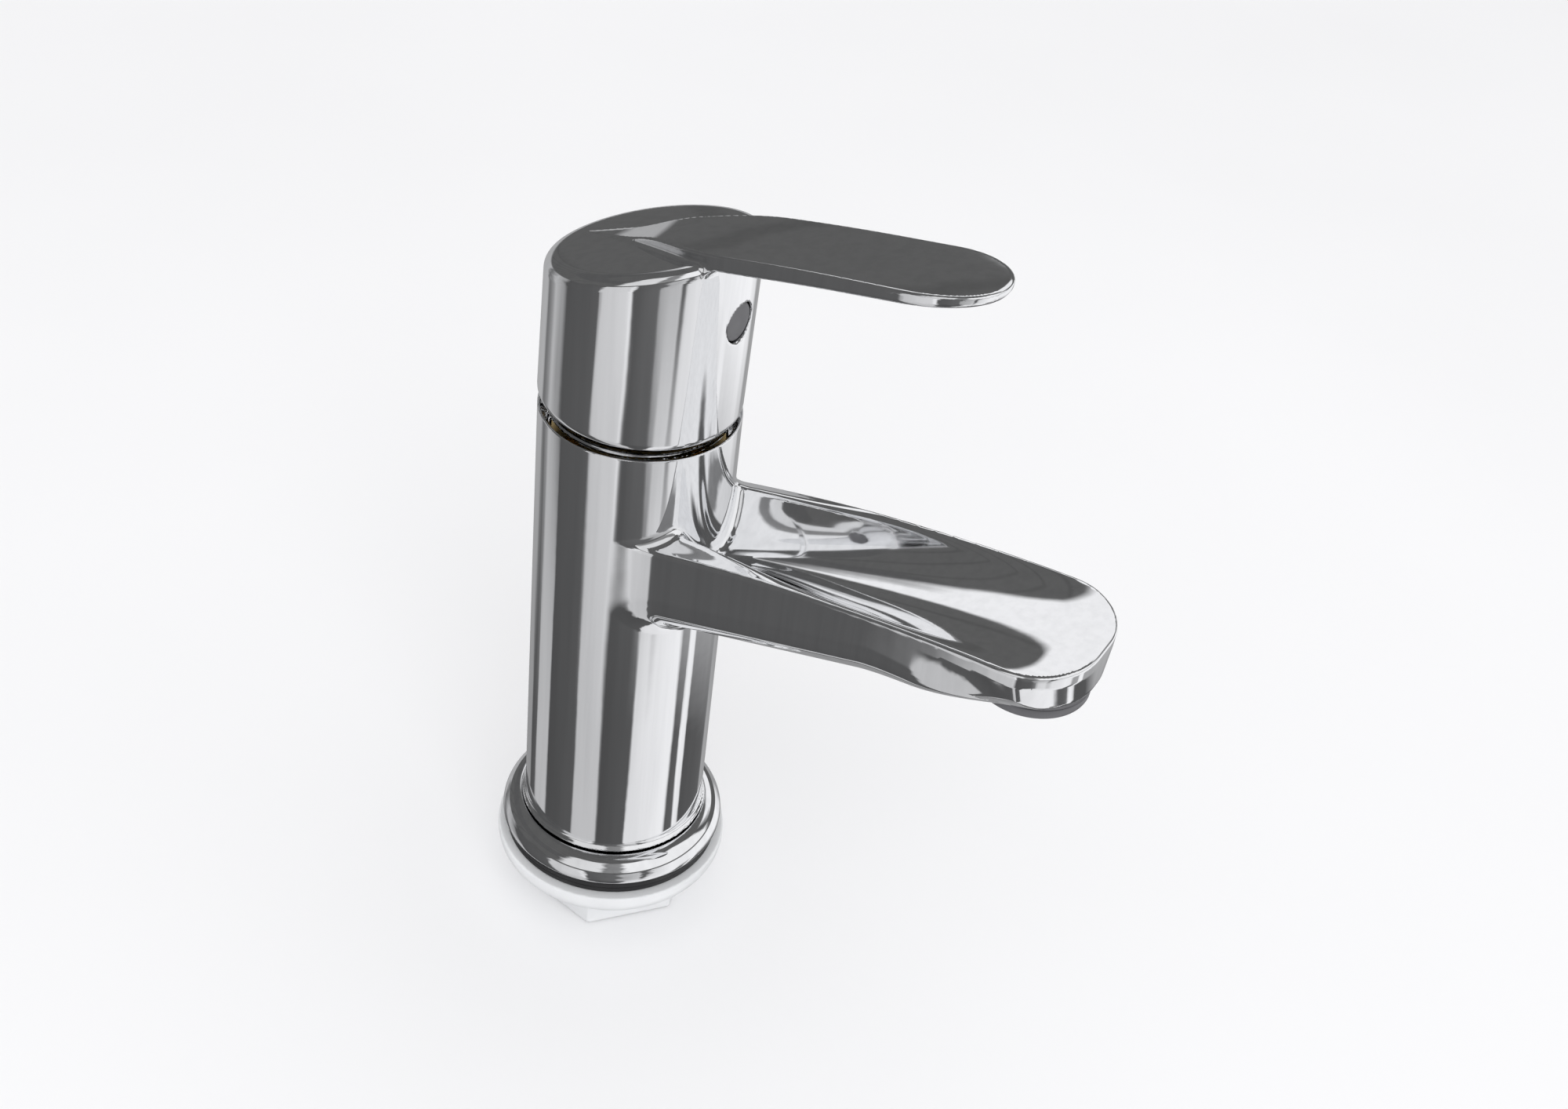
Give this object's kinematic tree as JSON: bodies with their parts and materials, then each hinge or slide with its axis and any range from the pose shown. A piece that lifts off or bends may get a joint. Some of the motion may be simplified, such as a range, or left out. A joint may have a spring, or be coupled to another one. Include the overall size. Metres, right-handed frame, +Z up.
{
  "type": "basin mixer faucet",
  "caption": "Single-lever basin mixer with a round column, broad dished spout, ceramic cartridge and flanged back-nut.",
  "frame": {"origin": "column axis, in the plane of the basin's top face, which is the gasket's underside", "axes": "+Z up the column, -Y along the spout and lever, +X to the user's left when facing the spout"},
  "size_m": [0.0596, 0.1463, 0.2088],
  "materials": {
    "chrome": "mirror-polished chrome plate",
    "brass": "machined brass",
    "steel": "plain stainless steel",
    "rubber": "matte black moulded rubber",
    "ceramic": "lapped alumina ceramic, glossy off-white",
    "white_nylon": "natural white nylon, slightly translucent",
    "grey_plastic": "satin grey moulding",
    "blue_plastic": "satin blue acetal"
  },
  "bodies": {
    "root": {"faucet_body": "chrome", "base_ring": "chrome", "base_ring_seal": "rubber", "deck_gasket": "rubber", "threaded_shank": "brass", "shank_seal": "rubber", "cartridge_base": "white_nylon", "hot_inlet_seal": "rubber", "cold_inlet_seal": "rubber", "outlet_seal": "rubber", "cartridge_housing": "white_nylon", "fixed_ceramic_disc": "ceramic", "cartridge_nut": "brass", "aerator_housing": "grey_plastic", "aerator_insert": "grey_plastic", "aerator_screen": "steel", "aerator_seal": "rubber"},
    "turntable": {"turntable": "white_nylon", "stem_pin": "steel"},
    "lever": {"lever_stem": "brass", "handle": "chrome", "index_button": "grey_plastic", "grub_screw": "steel"},
    "mixing_disc": {"moving_ceramic_disc": "ceramic", "disc_carrier": "blue_plastic"},
    "washer": {"under_deck_washer": "rubber"},
    "back_nut": {"mounting_nut": "white_nylon"}
  },
  "joints": [
    {"name": "lever_turn", "type": "hinge", "parent": "root", "child": "turntable", "pos_m": [0, 0, 0.1395], "axis": [0, 0, 1], "range_deg": [-45, 45]},
    {"name": "lever_lift", "type": "hinge", "parent": "turntable", "child": "lever", "pos_m": [0, 0, 0.1395], "axis": [-1, 0, 0], "range_deg": [0, 17]},
    {"name": "disc_slide", "type": "slide", "parent": "turntable", "child": "mixing_disc", "axis": [0, -1, 0], "range_m": [0, 0.009]},
    {"name": "washer_travel", "type": "slide", "parent": "root", "child": "washer", "axis": [0, 0, -1], "range_m": [0, 0.006]},
    {"name": "nut_turn", "type": "hinge", "parent": "washer", "child": "back_nut", "pos_m": [0, 0, -0.008], "axis": [0, 0, -1], "range_deg": [0, 1081]}
  ],
  "couplings": [
    {"joint": "disc_slide", "follows": "lever_lift", "m_per_rad": 0.0295},
    {"joint": "nut_turn", "follows": "washer_travel", "rad_per_m": 3141.6}
  ]
}
